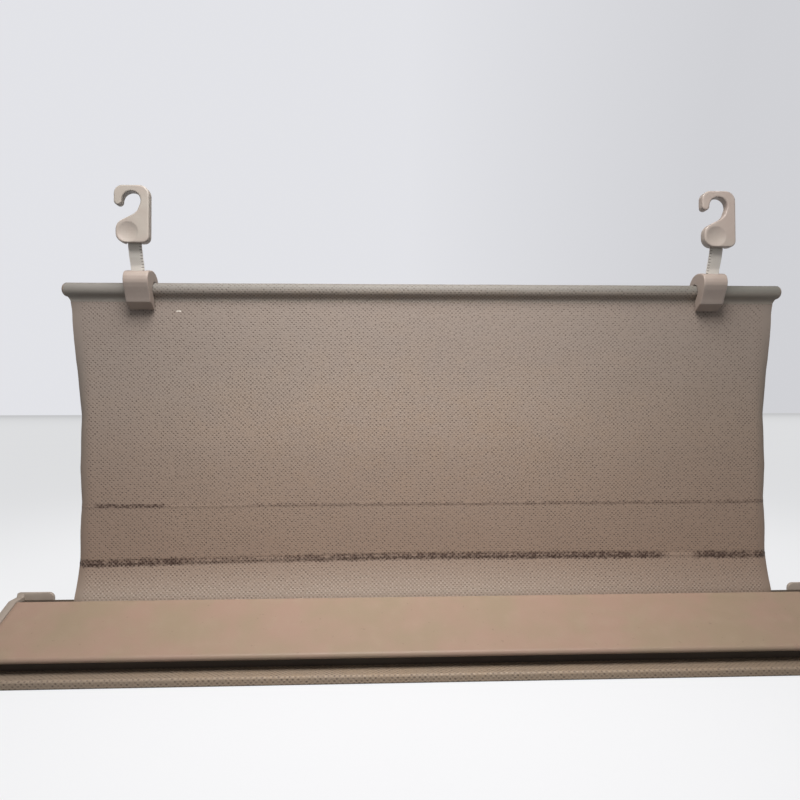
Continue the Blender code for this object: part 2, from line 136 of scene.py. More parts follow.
def offset(outline, distance):
    """A closed counter-clockwise outline moved inwards."""
    points = np.array(outline, float)
    before = points - np.roll(points, 1, axis=0)
    after = np.roll(points, -1, axis=0) - points
    before /= np.linalg.norm(before, axis=1)[:, None]
    after /= np.linalg.norm(after, axis=1)[:, None]
    first = np.stack([-before[:, 1], before[:, 0]], axis=1)
    middle = first + np.stack([-after[:, 1], after[:, 0]], axis=1)
    middle /= np.linalg.norm(middle, axis=1)[:, None]
    stretch = np.clip((middle * first).sum(axis=1), 0.6, 1.0)
    return points + middle * (distance / stretch)[:, None]


def resampled(points, step, closed=True):
    """The same path with points at an even distance."""
    points = np.array(points, float)
    if closed:
        points = np.vstack([points, points[:1]])
    length = np.concatenate([[0], np.cumsum(np.linalg.norm(np.diff(points, axis=0), axis=1))])
    count = max(3, round(length[-1] / step))
    at = np.linspace(0, length[-1], count + 1)
    made = np.column_stack([np.interp(at, length, points[:, k]) for k in range(points.shape[1])])
    return made[:-1] if closed else made


def strip(path, thickness):
    """The outline of a strip of even thickness along an open path."""
    points = np.array(path, float)
    steps = np.diff(points, axis=0)
    steps /= np.linalg.norm(steps, axis=1)[:, None]
    ahead = np.vstack([steps, steps[-1:]])
    along = ahead + np.vstack([steps[:1], steps])
    along /= np.linalg.norm(along, axis=1)[:, None]
    normal = np.stack([-along[:, 1], along[:, 0]], axis=1)
    half = thickness / 2 / np.clip((along * ahead).sum(axis=1), 0.6, 1.0)[:, None]
    return np.vstack([points + normal * half, (points - normal * half)[::-1]])


def baked(obj):
    """Applies the modifiers of an object to its mesh."""
    graph = bpy.context.evaluated_depsgraph_get()
    graph.update()
    mesh = bpy.data.meshes.new_from_object(obj.evaluated_get(graph))
    obj.modifiers.clear()
    obj.data = mesh
    return obj


def cut(obj, tools, operation="DIFFERENCE"):
    for tool in tools:
        change = obj.modifiers.new(tool.name, "BOOLEAN")
        change.operation = operation
        change.solver = "EXACT"
        change.object = tool
    baked(obj)
    for tool in tools:
        bpy.data.objects.remove(tool)
    return obj


def moulded(obj, voxel, passes):
    """Rounds every edge as a moulding's is: an even remesh, then a light smoothing."""
    grid = obj.modifiers.new("grid", "REMESH")
    grid.mode = "VOXEL"
    grid.voxel_size = voxel * MM
    soft = obj.modifiers.new("soft", "SMOOTH")
    soft.factor = 0.5
    soft.iterations = passes
    baked(obj)
    obj.data.shade_smooth()
    return obj


def block(name, low, high):
    ring = [(low[0], low[1]), (high[0], low[1]), (high[0], high[1]), (low[0], high[1])]
    return loft(name, [[(x, y, z) for x, y in ring] for z in (low[2], high[2])])


def ball(name, centre, radius):
    """A finely divided ball used as a cutter."""
    rings = []
    for polar in np.linspace(0.03, math.pi - 0.03, 40):
        turn = np.linspace(0, 2 * math.pi, 72, endpoint=False)
        across, z = radius * math.sin(polar), centre[2] + radius * math.cos(polar)
        flat = np.column_stack([centre[0] + across * np.cos(turn), centre[1] + across * np.sin(turn)])
        rings.append(np.column_stack([flat, np.full(72, z)]))
    return loft(name, rings)


def from_sheet(points):
    """Section points measured from the sheet's plane."""
    return np.asarray(points, float) + (FABRIC_Y, 0)


def from_rod(points):
    """Section points measured from the rod's axis."""
    return np.asarray(points, float) + (FABRIC_Y, ROD_Z)


def ripple(x, y, scale, seed=0.0):
    """Smooth, repeatable unevenness between -1 and 1."""
    return noise.noise(Vector((x / scale + seed, y / scale, seed * 1.7)))


# ---------------------------------------------------------------- materials


class Surface:
    """A node material under construction. Values are node sockets or plain numbers."""

    def __init__(self, name, roughness=0.5, metallic=0.0, specular=0.5, **sockets):
        self.material = bpy.data.materials.new(name)
        self.material.use_nodes = True
        self.tree = self.material.node_tree
        self.shader = self.tree.nodes["Principled BSDF"]
        self.shader.inputs["Roughness"].default_value = roughness
        self.shader.inputs["Metallic"].default_value = metallic
        self.shader.inputs["Specular IOR Level"].default_value = specular
        for key, value in sockets.items():
            self.shader.inputs[key.replace("_", " ")].default_value = value

    def node(self, kind, values=None, **settings):
        made = self.tree.nodes.new(kind)
        for key, value in settings.items():
            setattr(made, key, value)
        for key, value in (values or {}).items():
            self.feed(made.inputs[key], value)
        return made

    def feed(self, socket, value):
        if isinstance(value, bpy.types.NodeSocket):
            self.tree.links.new(value, socket)
        else:
            socket.default_value = value

    def math(self, operation, a, b=0.0, c=0.0):
        return self.node("ShaderNodeMath", {0: a, 1: b, 2: c}, operation=operation).outputs[0]

    def place(self):
        """The row frame's own coordinates, which stay on the piece as it moves."""
        return self.node("ShaderNodeTexCoord").outputs["Object"]

    def cloth(self):
        """Position on the flat cloth: across, along and a third value that a piece may set."""
        source = self.node("ShaderNodeAttribute", attribute_type="GEOMETRY", attribute_name="flat")
        return source.outputs["Vector"]

    def split(self, vector):
        return self.node("ShaderNodeSeparateXYZ", {0: vector}).outputs

    def noise(self, vector, scale, detail=3.0, rough=0.55):
        values = {"Vector": vector, "Scale": scale, "Detail": detail, "Roughness": rough}
        return self.node("ShaderNodeTexNoise", values).outputs["Fac"]

    def stretched(self, vector, scale):
        values = {"Vector": vector, "Scale": scale}
        return self.node("ShaderNodeMapping", values).outputs[0]

    def step(self, value, low, high, start=0.0, end=1.0):
        values = {"Value": value, "From Min": low, "From Max": high, "To Min": start, "To Max": end}
        made = self.node("ShaderNodeMapRange", values, interpolation_type="SMOOTHSTEP")
        return made.outputs["Result"]

    def mix(self, share, a, b, blend="MIX"):
        made = self.node("ShaderNodeMix", data_type="RGBA", blend_type=blend)
        self.feed(made.inputs[0], share)
        self.feed(made.inputs[6], (*a, 1.0) if isinstance(a, tuple) else a)
        self.feed(made.inputs[7], (*b, 1.0) if isinstance(b, tuple) else b)
        return made.outputs[2]

    def bump(self, height, distance, strength=1.0, after=None):
        values = {"Height": height, "Distance": distance, "Strength": strength}
        if after:
            values["Normal"] = after
        return self.node("ShaderNodeBump", values).outputs[0]

    def finish(self, colour=None, roughness=None, normal=None):
        for key, value in (("Base Color", colour), ("Roughness", roughness), ("Normal", normal)):
            if value is not None:
                self.feed(self.shader.inputs[key], value)
        return self.material


def shade(red, green, blue):
    """A linear colour from 0-255 display values."""
    return tuple(((c / 255 + 0.055) / 1.055) ** 2.4 if c > 10 else c / 3294.6 for c in (red, green, blue))


HOLE_X, HOLE_Z = 0.00305, 0.0030  # repeat of the perforation, alternate rows set half-way
MARGIN_X = 0.2605  # the cloth is plain outside this distance from its middle
CHIP_X, CHIP_Z = -0.1866, 0.2523  # a small pale chip in the sheet, under the left clip


def perforation(s, across, along):
    """1 in the middle of a hole, falling to 0 at its rim."""
    found = None
    for shift in (0.0, 0.5):
        u = s.math("FRACT", s.math("ADD", s.math("DIVIDE", across, HOLE_X), 100.25 + shift))
        v = s.math("FRACT", s.math("ADD", s.math("DIVIDE", along, HOLE_Z), 100.25 + shift))
        du = s.math("MULTIPLY", s.math("SUBTRACT", u, 0.5), HOLE_X * 1000)
        dv = s.math("MULTIPLY", s.math("SUBTRACT", v, 0.5), HOLE_Z * 1000)
        away = s.math("SQRT", s.math("ADD", s.math("MULTIPLY", du, du), s.math("MULTIPLY", dv, dv)))
        found = away if found is None else s.math("MINIMUM", found, away)
    return s.step(found, 0.34, 0.82, 1.0, 0.0)


def crease_mask(s, away, width, strength, seed):
    """A dark line along a crease, partly wear of the coating and partly painted shade of the fold: patchy
    along its length and ragged at its edges.
    """
    cloth = s.cloth()
    across = s.split(cloth)[0]
    source = s.node("ShaderNodeCombineXYZ", {0: across, 1: seed, 2: 0.0}).outputs[0]
    patches = s.step(s.noise(source, 110.0, 3.0, 0.7), 0.34, 0.56, 0.5, 1.0)
    ragged = s.math("MULTIPLY", s.math("SUBTRACT", s.noise(cloth, 420.0, 2.0), 0.5), 0.0034)
    spread = s.math("ABSOLUTE", s.math("ADD", away, ragged))
    line = s.math("MULTIPLY", s.step(spread, width * 0.35, width, 1.0, 0.0), patches)
    return s.math("MULTIPLY", line, strength)


def vinyl(
    name,
    coordinates="cloth",
    creased=False,
    base=(145, 129, 117),
    dark=(94, 80, 71),
    margin=MARGIN_X,
    shaded_rod_top=False,
):
    """Coated mesh with its perforation and clouding, pale painted highlights between its holes and painted
    shade towards its right side. The sheet is creased, its crease lines dark partly from wear and partly
    from painted shade, with painted bounce light below its lower crease; the hem has painted shade over the
    top of its rod.
    """
    s = Surface(name, specular=0.35)
    vector = s.cloth() if coordinates == "cloth" else s.place()
    axes = s.split(vector)
    across, along = axes[0], axes[1 if coordinates == "cloth" else 2]
    holes = perforation(s, across, along)
    broad = s.noise(vector, 9.0, 3.0)
    middling = s.noise(vector, 45.0, 3.0)
    blotch = s.noise(vector, 380.0, 2.0)
    fine = s.noise(vector, 1500.0, 2.0)
    wavering = s.math("MULTIPLY", s.math("SUBTRACT", middling, 0.5), 0.006)
    edge = s.math("ADD", s.math("ABSOLUTE", across), wavering)
    plain = s.step(edge, margin - 0.006, margin, 1.0, 0.0)
    contrast = s.math("MULTIPLY", s.step(blotch, 0.34, 0.64, 0.05, 1.0), plain)
    depth = s.math("MULTIPLY", holes, contrast)
    light = s.mix(broad, shade(*(c - 7 for c in base)), shade(*(c + 6 for c in base)))
    light = s.mix(s.step(middling, 0.35, 0.7), light, shade(base[0] + 4, base[1] + 1, base[2] - 3))
    light = s.mix(plain, shade(base[0] - 12, base[1] - 2, base[2] - 1), light)
    light = s.mix(s.step(fine, 0.45, 0.66, 0.0, 0.5), light, shade(*(c + 32 for c in base)))
    # Painted highlights: pale spots between the holes stand in for light on the coating between them.
    between = perforation(s, s.math("ADD", across, HOLE_X / 2), along)
    pale = s.math("MULTIPLY", s.math("MULTIPLY", between, contrast), 0.55)
    light = s.mix(pale, light, shade(*(c + 34 for c in base)))
    greyer = s.step(across, -0.26, -0.05, 0.7, 0.0)
    light = s.mix(greyer, light, shade(base[0] - 7, base[1] - 4, base[2] - 1))
    # Painted shade: the vinyl darkens towards the right, where less light falls.
    painted_shade_right = s.step(across, 0.02, 0.26, 0.0, 0.8)
    light = s.mix(painted_shade_right, light, shade(base[0] - 8, base[1] - 7, base[2] - 7))
    if shaded_rod_top:
        # Painted shade over the top of the hem's rod, dimming its highlight, darkest where it meets the
        # painted shade on the right.
        painted_shade_rod_top = s.step(along, 0.2665, 0.2715, 0.0, 0.9)
        light = s.mix(painted_shade_rod_top, light, shade(base[0] - 22, base[1] - 15, base[2] - 10))
        both = s.math("MULTIPLY", painted_shade_right, painted_shade_rod_top)
        light = s.mix(both, light, shade(base[0] - 38, base[1] - 29, base[2] - 26))
    if creased:
        # Warmer, yellower tone towards the bottom of the sheet.
        warmer_lower = s.step(along, 0.06, 0.22, 0.8, 0.0)
        light = s.mix(warmer_lower, light, shade(base[0] + 2, base[1] - 5, base[2] - 9))
        # Darker and greyer towards the top of the sheet.
        greyer_top = s.step(along, 0.16, 0.25, 0.0, 0.7)
        light = s.mix(greyer_top, light, shade(base[0] - 9, base[1] - 5, base[2] - 1))
        # Painted bounce light: below the lower crease the sheet is paler towards the cover, less so on the
        # right, with pale painted highlights between its holes.
        below = s.step(axes[2], -0.030, 0.001, 0.62, 0.12)
        below = s.math("MULTIPLY", below, s.step(axes[2], -0.0005, 0.0012, 1.0, 0.0))
        below = s.math("MULTIPLY", below, s.step(across, 0.03, 0.24, 1.0, 0.45))
        light = s.mix(below, light, shade(base[0] + 34, base[1] + 36, base[2] + 36))
    # The holes show less dark under the painted bounce light.
    shown = s.math("SUBTRACT", 0.78, s.math("MULTIPLY", below, 0.75)) if creased else 0.74
    if creased:
        pale = s.math("MULTIPLY", s.math("MULTIPLY", between, contrast), below)
        light = s.mix(pale, light, shade(*(c + 62 for c in base)))
    colour = s.mix(s.math("MULTIPLY", depth, shown), light, shade(*dark))
    rough = s.step(broad, 0.3, 0.7, 0.56, 0.68)
    height = s.math("SUBTRACT", s.math("MULTIPLY", fine, 0.16), depth)
    if creased:
        # Crease lines: a dark line with darker holes, partly wear and partly painted shade of the folds.
        wear = s.node("ShaderNodeAttribute", attribute_type="GEOMETRY", attribute_name="wear")
        strength = s.split(wear.outputs["Vector"])
        high = s.math("SUBTRACT", along, CREASE_HIGH * MM)
        strong = crease_mask(s, axes[2], 0.0038, strength[0], 3.7)
        weak = crease_mask(s, high, 0.0019, strength[1], 9.1)
        crease_wear_and_shade = s.math("MAXIMUM", strong, s.math("MULTIPLY", weak, 0.9))
        grain = s.math("ADD", 0.75, s.math("MULTIPLY", holes, 0.7))
        mottled = s.math("MULTIPLY", grain, s.step(blotch, 0.36, 0.56, 0.5, 1.15))
        crease_wear_and_shade = s.math("MINIMUM", s.math("MULTIPLY", crease_wear_and_shade, mottled), 1.0)
        colour = s.mix(crease_wear_and_shade, colour, shade(60, 41, 33))
        height = s.math("SUBTRACT", height, s.math("MULTIPLY", crease_wear_and_shade, 0.8))
        chip_z = s.step(s.math("ABSOLUTE", s.math("SUBTRACT", along, CHIP_Z)), 0.0002, 0.0007, 1.0, 0.0)
        chip_x = s.step(s.math("ABSOLUTE", s.math("SUBTRACT", across, CHIP_X)), 0.0012, 0.0022, 1.0, 0.0)
        colour = s.mix(s.math("MULTIPLY", chip_z, chip_x), colour, shade(206, 198, 188))
    normal = s.bump(height, 0.00022, 0.9)
    return s.finish(colour, rough, normal)


def plastic(name, base, warm, roughness=0.45, grain=0.5, speck=0.0, sheen=0.5):
    """Moulded plastic: cloudy colour, a fine spark-eroded grain and a little handling wear."""
    s = Surface(name, specular=sheen)
    place = s.place()
    cloudy = s.noise(place, 26.0, 3.0)
    patchy = s.noise(place, 110.0, 4.0, 0.6)
    fine = s.noise(place, 2600.0, 2.0)
    colour = s.mix(s.step(cloudy, 0.32, 0.68), shade(*base), shade(*warm))
    colour = s.mix(s.step(patchy, 0.45, 0.8, 0.0, 0.3), colour, shade(*(min(255, c + 12) for c in base)))
    colour = s.mix(s.step(fine, 0.35, 0.65, 0.0, 0.12), colour, shade(*(c - 30 for c in base)))
    if speck:
        dirt = s.step(s.noise(place, 320.0, 1.0), 0.73, 0.78, 0.0, speck)
        colour = s.mix(dirt, colour, shade(112, 92, 78))
    bump = s.bump(fine, 0.00006, grain)
    bump = s.bump(patchy, 0.0002, 0.25, bump)
    rough = s.step(patchy, 0.3, 0.75, roughness - 0.06, roughness + 0.09)
    return s.finish(colour, rough, bump)


def webbing_material():
    """Woven strap: paler ridges, with painted shade in the low places of the weave and in the gaps between
    the loops of its edges.
    """
    s = Surface("strap_webbing", specular=0.25, Sheen_Weight=0.25, Sheen_Roughness=0.5)
    cloth = s.cloth()
    axes = s.split(cloth)
    fibre = s.noise(s.stretched(cloth, (4.0, 1.0, 1.0)), 1800.0, 3.0)
    colour = s.mix(fibre, shade(228, 222, 214), shade(250, 246, 240))
    # Painted shade: darker where the weave and the edge loops lie low.
    low = s.step(axes[2], 0.05, 0.5, 0.9, 0.0)
    colour = s.mix(low, colour, shade(104, 94, 86))
    cloudy = s.noise(cloth, 120.0, 2.0)
    colour = s.mix(s.step(cloudy, 0.35, 0.7, 0.0, 0.35), colour, shade(182, 168, 152))
    return s.finish(colour, s.step(fibre, 0.3, 0.7, 0.72, 0.9), s.bump(fibre, 0.00008, 0.6))


def metal(name, base, roughness, stretch, scale=900.0):
    """Drawn or turned metal, its fine lines running with the given stretch."""
    s = Surface(name, metallic=1.0)
    place = s.place()
    lines = s.noise(s.stretched(place, stretch), scale, 4.0, 0.7)
    dull = s.noise(place, 60.0, 3.0)
    colour = s.mix(s.step(dull, 0.4, 0.75), shade(*base), shade(*(c - 34 for c in base)))
    rough = s.step(lines, 0.3, 0.7, roughness - 0.08, roughness + 0.14)
    return s.finish(colour, rough, s.bump(lines, 0.00003, 0.5))


def thread_material():
    s = Surface("thread", specular=0.3, Sheen_Weight=0.2)
    twist = s.noise(s.stretched(s.place(), (1.0, 1.0, 3.0)), 2500.0, 2.0)
    colour = s.mix(twist, shade(104, 90, 80), shade(138, 122, 110))
    return s.finish(colour, s.step(twist, 0.3, 0.7, 0.7, 0.85), s.bump(twist, 0.00006, 0.8))


# ---------------------------------------------------------------- the vinyl sheet

HEM_SEAM = -8.4  # stitch line, from the rod's axis
FRONT_TAIL = -8.9
BACK_TAIL = -8.9
PANEL_TOP = ROD_Z + FRONT_TAIL - 0.03
PANEL_BOTTOM = PANEL_LOW[2]
CLOTH_HALF = 265.0  # half the flat width
CLOTH_THICK = 0.5
CREASE_HIGH, CREASE_LOW = 108.0, 68.0
CURL_REACH = 12.0  # how much of the cloth the curling edge takes up
# How far each side edge is drawn in at these heights
EDGE_Z = (17, 40, 54.6, 69, 91, 111, 135, 164, 175, 183, 209, 223, 238, 245.5, 251.5, 255.5, 259)
EDGE_IN = (3.0, 4.3, 6.3, 7.3, 7.5, 8.8, 7.9, 8.8, 9.1, 8.3, 5.6, 3.7, 2.1, 1.5, 1.2, 0.7, 0.1)
BOW = 0.467  # how far a millimetre of curl to the rear seems to draw the edge in


def crease_height(x, level):
    """A crease runs almost level, a little lower towards the left."""
    wander = np.interp(x, (-253, -133, -22, 129, 253), (-2.5, -0.6, 0.7, 0.1, -0.8))
    return level + wander * (0.3 if level > 90 else 1.0)


def crease_strength(x, level):
    """How dark each crease line is along its length, from wear and painted shade."""
    if level > 90:
        places = (-254, -247, -206, -194, -140, -130, 60, 90)
        return np.interp(x, places, (0.15, 1, 1, 0.1, 0.1, 0.45, 0.4, 0.5))
    places = (-190, -180, -112, -98, 20, 100, 178, 184, 204, 208)
    return np.interp(x, places, (1, 0.6, 0.55, 0.85, 0.95, 1, 1, 0, 0, 1))


def sheet_depth(x, z):
    """How far the hanging sheet stands behind its plane, from creases and slack."""
    low, high = crease_height(x, CREASE_LOW), crease_height(x, CREASE_HIGH)
    folded = np.interp(z, (40, low, high, 150, 230), (0, 2.8, 1.6, 0.5, 0.0))
    ridge = -0.45 * math.exp(-(((z - low) / 0.9) ** 2)) - 0.2 * math.exp(-(((z - high) / 0.8) ** 2))
    free = np.interp(z, (38, 80, 205, 236), (0, 1, 1, 0))
    slack = 0.55 * ripple(x, z * 0.6, 120, 2.1) + 0.22 * ripple(x, z, 38, 5.3)
    return folded + ridge + slack * free


def build_panel():
    """A closed sheet whose side edges curl back where it hangs free."""
    edge = np.array([0, 0.5, 1, 1.8, 2.8, 4, 5.5, 7, 8.5, 10, 11.5, 13, 15, 18])
    middle = np.linspace(-(CLOTH_HALF - 22), CLOTH_HALF - 22, 121)
    across = np.concatenate([-CLOTH_HALF + edge, middle, (CLOTH_HALF - edge)[::-1]])
    fine = [c + d for c in (CREASE_LOW, CREASE_HIGH) for d in np.arange(-4.5, 4.6, 0.75)]
    coarse = [z for z in np.linspace(PANEL_BOTTOM, PANEL_TOP, 82) if min(abs(z - f) for f in fine) > 1.0]
    heights = sorted(fine + coarse)
    front, back, flat, wear = [], [], [], []
    for z in heights:
        for s in across:
            inward = float(np.interp(z, EDGE_Z, EDGE_IN)) * (1.0 if s < 0 else 0.9)
            inward += 0.2 * ripple(z, s > 0, 9, 4.4) * (z > 45)
            turn = 0.03 + 0.11 * max(inward, 0.0)
            radius = CURL_REACH / turn
            curled = CURL_REACH - radius * math.sin(turn) + BOW * radius * (1 - math.cos(turn))
            narrowed = 1 - (inward - curled) / CLOTH_HALF
            past = max(0.0, abs(s) - (CLOTH_HALF - CURL_REACH))
            angle = turn * past / CURL_REACH
            x = math.copysign((abs(s) - past) * narrowed + radius * math.sin(angle), s)
            y = FABRIC_Y + radius * (1 - math.cos(angle)) + sheet_depth(x, z)
            normal = np.array([math.sin(angle) * (1 if s > 0 else -1), -math.cos(angle), 0.0])
            front.append(np.array([x, y, z]) + normal * CLOTH_THICK / 2)
            back.append(np.array([x, y, z]) - normal * CLOTH_THICK / 2)
            flat.append((s * MM, z * MM, (z - crease_height(s, CREASE_LOW)) * MM))
            wear.append((crease_strength(s, CREASE_LOW), crease_strength(s, CREASE_HIGH), 0.0))
    columns, rows, count = len(across), len(heights), len(front)
    faces = []
    for row in range(rows - 1):
        for i in range(columns - 1):
            a = row * columns + i
            faces.append((a, a + 1, a + 1 + columns, a + columns))
            faces.append((count + a, count + a + columns, count + a + 1 + columns, count + a + 1))
    rim = list(range(columns)) + [r * columns + columns - 1 for r in range(1, rows)]
    rim += [(rows - 1) * columns + i for i in range(columns - 2, -1, -1)]
    rim += [r * columns for r in range(rows - 2, 0, -1)]
    for a, b in zip(rim, rim[1:] + rim[:1]):
        faces.append((a, count + a, count + b, b))
    attributes = {"flat": flat + flat, "wear": wear + wear}
    return mesh_piece("vinyl_sheet", front + back, faces, 60, attributes)


def hem_path():
    """Middle line of the cloth round the rod, from the front tail over the top to the back tail,
    with the length along the cloth at each point."""
    radius = ROD_RADIUS + 0.3
    waist = [(0, FRONT_TAIL), (0, -8.3), (-0.05, -7.4), (-0.3, -6.5), (-0.95, -5.4)]
    round_rod = arc((0, 0), radius, 243, -80, 62)
    tail = [(0.62, -5.7), (0.56, -6.6), (0.56, -7.6), (0.56, -8.2), (0.56, BACK_TAIL)]
    path = resampled(waist + round_rod + tail, 0.5, closed=False)
    for _ in range(2):
        path[1:-1] = 0.25 * path[:-2] + 0.5 * path[1:-1] + 0.25 * path[2:]
    return path


def hem_half(z):
    """The hem is widest on the rod and draws in towards the sheet, in a hollow curve."""
    heights = (-12, -8.9, -7.5, -6.2, -4.8, -3.2, -1.8)
    return float(np.interp(z, heights, (264.6, 264.9, 265.3, 266.0, 267.0, 267.8, 268.0)))


def build_hem():
    path = hem_path()
    outline = strip(path, CLOTH_THICK)
    lengths = np.concatenate([[0], np.cumsum(np.linalg.norm(np.diff(path, axis=0), axis=1))])
    # The front tail continues the panel's own pattern upwards.
    travel = np.concatenate([lengths, lengths[::-1]]) + ROD_Z + FRONT_TAIL
    halves = np.array([hem_half(z) for z in np.concatenate([path[:, 1], path[::-1, 1]])])
    shares = np.sin(np.linspace(-math.pi / 2, math.pi / 2, 181)) * 0.25 + np.linspace(-1, 1, 181) * 0.75
    rings, flat = [], []
    for share in shares:
        x = share * halves
        swell = np.array([0.1 * ripple(value, z * 4, 26, 7.7) for value, z in zip(x, outline[:, 1])])
        away = outline / np.maximum(np.linalg.norm(outline, axis=1), 1.0)[:, None]
        on_rod = np.clip((outline[:, 1] + 8) / 6, 0, 1)
        section = outline + away * (swell * on_rod)[:, None]
        rings.append(np.column_stack([x, from_rod(section)]))
        flat.append(np.column_stack([x * MM, travel * MM, np.zeros(len(x))]))
    return loft("hem_cloth", rings, smooth_degrees=60, attributes={"flat": np.concatenate(flat)})


def build_stitches():
    """Two rows of thread: the front one and the back one, each stitch pulled into the cloth."""
    pitch, length, radius, sides = 2.7, 1.9, 0.15, 6
    points, faces = [], []
    for depth in (-0.26, 0.82):
        out = math.copysign(1.0, depth)
        for index in range(int(-258 / pitch), int(258 / pitch) + 1):
            middle = index * pitch + 0.12 * ripple(index, depth, 1.7, 3.3)
            lift = 0.12 * ripple(index, depth, 2.3, 8.8)
            start = len(points)
            for share, size in ((-0.5, 0.5), (-0.34, 0.95), (0, 1.0), (0.34, 0.95), (0.5, 0.5)):
                sink = 0.16 * (2 * share) ** 2
                for side in range(sides):
                    angle = 2 * math.pi * side / sides
                    y = depth - out * sink + size * radius * math.cos(angle)
                    z = HEM_SEAM + lift + size * radius * math.sin(angle)
                    points.append((middle + share * length, y + FABRIC_Y, z + ROD_Z))
            for face in ring_faces(5, sides):
                faces.append(tuple(start + i for i in face))
    return mesh_piece("hem_stitches", points, faces, 80)


# ---------------------------------------------------------------- clips, straps and hooks


def clip_outline():
    """A solid block in front of the rod with an arm over the rod to its rear and a lip below."""
    outline = [
        *((-9.4, -10.6), (-10.8, -7.4), (-12.3, -4.4), (-14.4, -0.5), (-15.7, 2.6), (-16.0, 4.8)),
        *((-15.7, 7.4), (-14.7, 9.8), (-12.9, 11.4), (-9.2, 12.6), (-5.5, 13.2), (-2.0, 13.0)),
        *((1.6, 11.8), (4.8, 9.3), (7.2, 6.0), (8.5, 2.2), (8.7, -1.4), (8.0, -4.2), (6.4, -4.6)),
        *arc((0, 0), 5.48, -40, 226, 30),
        *((-2.3, -5.8), (-1.3, -7.4), (-1.3, -14.6), (-1.9, -15.0)),
    ]
    return resampled(outline[::-1], 0.55)


def build_clip(side, label):
    low, high = node_box(f"clip_{label}")
    middle, half = (low[0] + high[0]) / 2, (high[0] - low[0]) / 2
    fall = [(0.9 * (1 - math.cos(a)), 0.9 * (1 - math.sin(a))) for a in np.linspace(0, 1.25, 5)]
    stations = [(middle - half + along, inset) for along, inset in fall]
    stations += [(2 * middle - x, inset) for x, inset in stations[::-1]]
    clip = along_x(from_rod(clip_outline()), stations, f"clip_{label}_body")
    pocket = [
        *((-13.3, 2.4), (-7.8, 2.4), (-7.8, 7.0), (-5.0, 15.0)),
        *((-12.0, 15.0), (-12.0, 9.2), (-13.3, 7.2)),
    ]
    slot = along_x(from_rod(pocket), [(middle - 5.6, 0), (middle + 5.6, 0)], "pocket")
    pin_low, pin_high = node_box(f"clip_pin_{label}")
    seat = arc(tuple((pin_low[1:] + pin_high[1:]) / 2), 1.35, 0, 345, 24)
    bore = along_x(seat, [(pin_low[0] - 0.3, 0), (pin_high[0] + 0.3, 0)], "seat")
    cut(clip, [slot, bore])
    moulded(clip, 0.32, 2)
    clip.data.materials.append(CLIP_PLASTIC)
    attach(clip, f"clip_{label}")
    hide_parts(f"clip_{label}")


def strap_loop(lower, upper):
    """Closed middle line of the webbing: up from the clip's pin, round the hook's pin, and back."""
    path = [lower, (-10.5, 11.0), (-11.6, 15.5), (-14.0, 21.0), (-16.2, 28.0), upper]
    gap = 0.80
    sides = strip(path, gap)
    half = len(path)
    line = list(sides[1 : half - 1])
    for centre, near, eye in ((upper, path[-2], 1.42), (lower, path[1], 1.78)):
        away = math.degrees(math.atan2(near[1] - centre[1], near[0] - centre[0]))
        spread = math.degrees(math.asin(gap / 2 / eye)) + 12
        line += arc(centre, eye, away + 360 - spread, away + spread, 22)
        if centre is upper:
            line += list(sides[half + 1 : -1])
    line = resampled(line, 0.3)
    for _ in range(6):
        line = 0.25 * np.roll(line, 1, axis=0) + 0.5 * line + 0.25 * np.roll(line, -1, axis=0)
    return line


def build_strap(side, label):
    """Webbing looped round both pins, woven in ridges, with a row of small loops at each edge."""
    low, high = node_box(f"strap_{label}")
    middle, half = (low[0] + high[0]) / 2, (high[0] - low[0]) / 2 - 0.25
    pins = []
    for kind in ("clip_pin", "hook_pin"):
        pin_low, pin_high = node_box(f"{kind}_{label}")
        pins.append(tuple((pin_low[1:] + pin_high[1:]) / 2 - (FABRIC_Y, ROD_Z)))
    line = strap_loop(*pins)
    ahead = np.roll(line, -1, axis=0) - np.roll(line, 1, axis=0)
    ahead /= np.linalg.norm(ahead, axis=1)[:, None]
    normal = np.column_stack([ahead[:, 1], -ahead[:, 0]])
    if ((line - line.mean(axis=0)) * normal).sum() < 0:
        normal = -normal
    columns = 41
    pick, rib, thick, tooth_pitch = 1.25, 0.86, 0.30, 2.1
    rings, flat = [], []
    for index, (point, out) in enumerate(zip(line, normal)):
        v = index * 0.3
        tooth = math.cos(2 * math.pi * v / tooth_pitch)
        top, bottom, top_flat, bottom_flat = [], [], [], []
        for u in np.linspace(-1, 1, columns):
            near_edge = max(0.0, (abs(u) - 0.66) / 0.34)
            toothed = min(1.0, 2 * near_edge) * (1.0 if u * side < 0 else 0.15)
            x = u * (half - 0.45) + math.copysign(0.65 * tooth * toothed, u)
            weave = math.cos(math.pi * u * half / rib) * math.cos(math.pi * v / pick * 2)
            raised = 0.5 + 0.32 * weave * (1 - near_edge) + 0.5 * toothed * tooth
            height = thick * (1 - 0.5 * near_edge**2) + 0.13 * (raised - 0.5)
            place = point + out * height
            top.append((middle + x, place[0] + FABRIC_Y, place[1] + ROD_Z))
            top_flat.append((x * MM, v * MM, raised))
            place = point - out * (thick * (1 - 0.5 * near_edge**2))
            bottom.append((middle + x, place[0] + FABRIC_Y, place[1] + ROD_Z))
            bottom_flat.append((x * MM, v * MM, 0.6))
        rings.append(top + bottom[::-1])
        flat.append(top_flat + bottom_flat[::-1])
    flat = np.asarray(flat).reshape(-1, 3)
    strap = loft(f"strap_{label}_webbing", rings, closed=True, smooth_degrees=75, attributes={"flat": flat})
    strap.data.materials.append(WEBBING)
    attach(strap, f"strap_{label}")
    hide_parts(f"strap_{label}")


